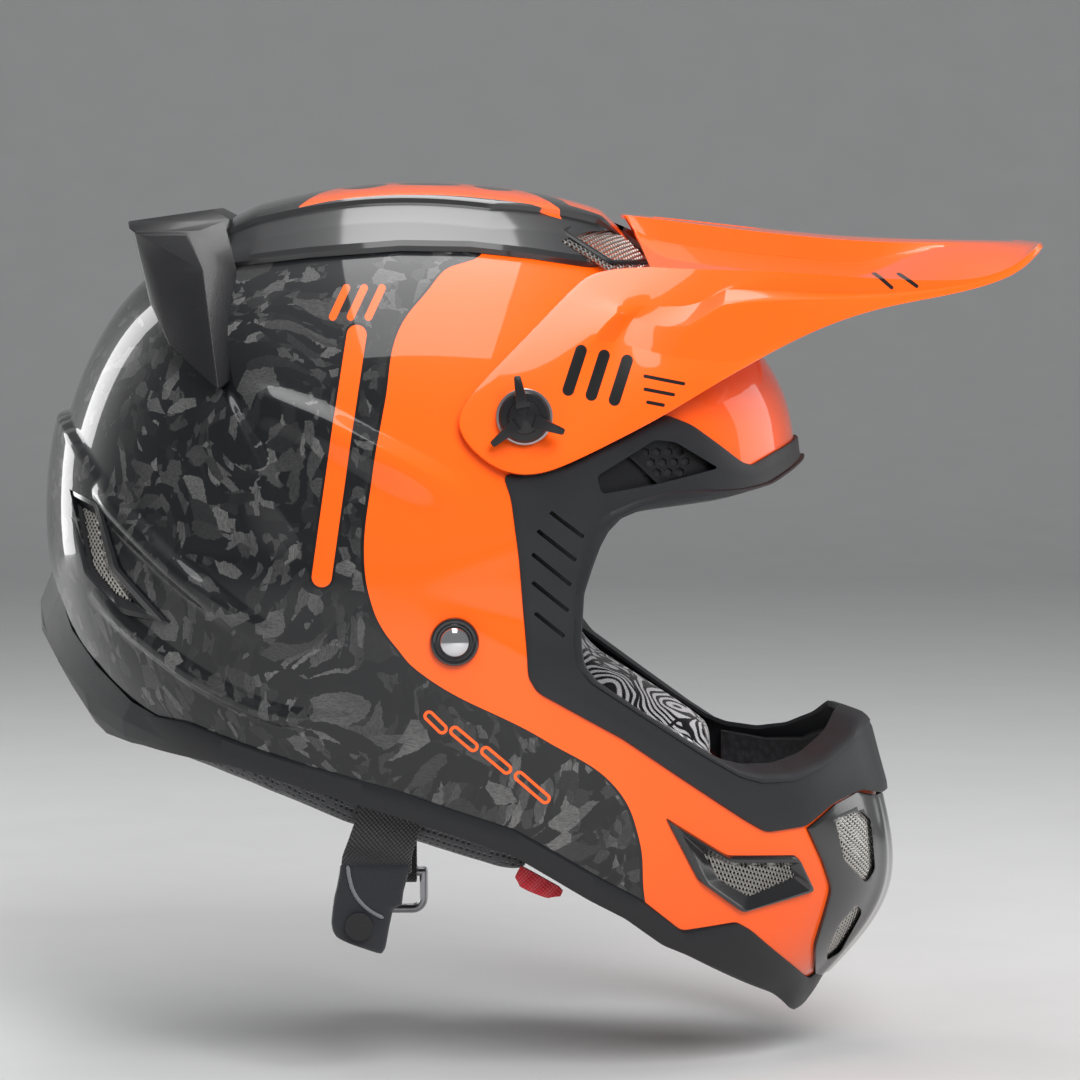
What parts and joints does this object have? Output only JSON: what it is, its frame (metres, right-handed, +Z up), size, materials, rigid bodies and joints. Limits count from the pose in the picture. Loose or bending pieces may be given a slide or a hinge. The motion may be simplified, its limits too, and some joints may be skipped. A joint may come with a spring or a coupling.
{
  "type": "motocross helmet",
  "caption": "Off-road helmet with a moulded shell, long chin bar, open face, adjustable peak on side thumb screws, padded liner and a chin strap with D-rings.",
  "frame": {"origin": "middle of the head space, at the wearer's ear level on the middle plane", "axes": "+X the way the wearer faces, +Y the wearer's left, +Z up with the helmet worn level"},
  "size_m": [0.4116, 0.2644, 0.3343],
  "materials": {
    "carbon_shell": "gloss",
    "orange_paint": "gloss",
    "impact_foam": "matte",
    "liner_fabric": "matte",
    "printed_fabric": "matte",
    "mesh_fabric": "matte",
    "trim_rubber": "matte",
    "black_plastic": "satin",
    "gloss_black": "gloss",
    "wire_mesh": "satin",
    "screw_plastic": "satin",
    "insert_brass": "satin",
    "rivet_steel": "polished",
    "ring_steel": "satin",
    "webbing": "matte",
    "red_webbing": "matte"
  },
  "bodies": {
    "helmet": {"outer_shell": "carbon_shell", "impact_liner": "impact_foam", "chin_bar_foam": "impact_foam", "crown_liner": "liner_fabric", "cheek_pad_right": "printed_fabric", "cheek_pad_left": "printed_fabric", "neck_roll": "mesh_fabric", "eye_port_trim": "trim_rubber", "rim_trim": "trim_rubber", "rear_diffuser": "black_plastic", "rear_spoiler": "black_plastic", "rivet_washer_right": "black_plastic", "rivet_washer_left": "black_plastic", "mouth_guard": "gloss_black", "crown_fairing": "gloss_black", "side_vent_frame_right": "gloss_black", "side_vent_frame_left": "gloss_black", "rear_vent_frame_right": "gloss_black", "rear_vent_frame_left": "gloss_black", "side_vent_mesh_right": "wire_mesh", "side_vent_mesh_left": "wire_mesh", "rear_vent_mesh_right": "wire_mesh", "rear_vent_mesh_left": "wire_mesh", "mouth_mesh_upper_right": "wire_mesh", "mouth_mesh_upper_left": "wire_mesh", "mouth_mesh_lower_right": "wire_mesh", "mouth_mesh_lower_left": "wire_mesh", "crown_mesh_right": "wire_mesh", "crown_mesh_left": "wire_mesh", "brow_vent_grille_right": "black_plastic", "brow_vent_grille_left": "black_plastic", "peak_insert_right": "insert_brass", "peak_insert_left": "insert_brass", "strap_rivet_right": "rivet_steel", "strap_rivet_left": "rivet_steel", "strap_anchor_right": "webbing", "strap_anchor_left": "webbing"},
    "peak": {"peak": "orange_paint"},
    "peak_screw_right": {"peak_screw_right": "screw_plastic"},
    "peak_screw_left": {"peak_screw_left": "screw_plastic"},
    "chin_strap_right": {"chin_strap_right": "webbing", "strap_snap": "rivet_steel"},
    "chin_strap_left": {"chin_strap_left": "webbing"},
    "d_ring_outer": {"d_ring_outer": "ring_steel"},
    "d_ring_inner": {"d_ring_inner": "ring_steel"},
    "release_tab_right": {"release_tab_right": "red_webbing"},
    "release_tab_left": {"release_tab_left": "red_webbing"}
  },
  "joints": [
    {"name": "peak_tilt", "type": "hinge", "parent": "helmet", "child": "peak", "pos_m": [0.035, 0, 0.089], "axis": [0, -1, 0], "range_deg": [-3, 2]},
    {"name": "peak_screw_right_turn", "type": "hinge", "parent": "helmet", "child": "peak_screw_right", "pos_m": [0.035, -0.1213, 0.089], "axis": [0, -1, 0], "continuous": true},
    {"name": "peak_screw_left_turn", "type": "hinge", "parent": "helmet", "child": "peak_screw_left", "pos_m": [0.035, 0.1213, 0.089], "axis": [0, 1, 0], "continuous": true},
    {"name": "chin_strap_right_swing", "type": "hinge", "parent": "helmet", "child": "chin_strap_right", "pos_m": [-0.0225, -0.0995, -0.0855], "axis": [1, 0, 0], "range_deg": [-45, 70]},
    {"name": "chin_strap_left_swing", "type": "hinge", "parent": "helmet", "child": "chin_strap_left", "pos_m": [-0.024, 0.0995, -0.0855], "axis": [-1, 0, 0], "range_deg": [-45, 70]},
    {"name": "d_ring_outer_swing", "type": "hinge", "parent": "chin_strap_left", "child": "d_ring_outer", "pos_m": [-0.024, 0.1018, -0.117], "axis": [1, 0, 0], "range_deg": [0, 60]},
    {"name": "d_ring_inner_swing", "type": "hinge", "parent": "chin_strap_left", "child": "d_ring_inner", "pos_m": [-0.024, 0.0972, -0.117], "axis": [-1, 0, 0], "range_deg": [0, 60]},
    {"name": "release_tab_right_lift", "type": "hinge", "parent": "helmet", "child": "release_tab_right", "pos_m": [0.0415, -0.1026, -0.0924], "axis": [-0.8576, 0, 0.5143], "range_deg": [0, 60]},
    {"name": "release_tab_left_lift", "type": "hinge", "parent": "helmet", "child": "release_tab_left", "pos_m": [0.0415, 0.1026, -0.0924], "axis": [0.8576, 0, -0.5143], "range_deg": [0, 60]}
  ]
}
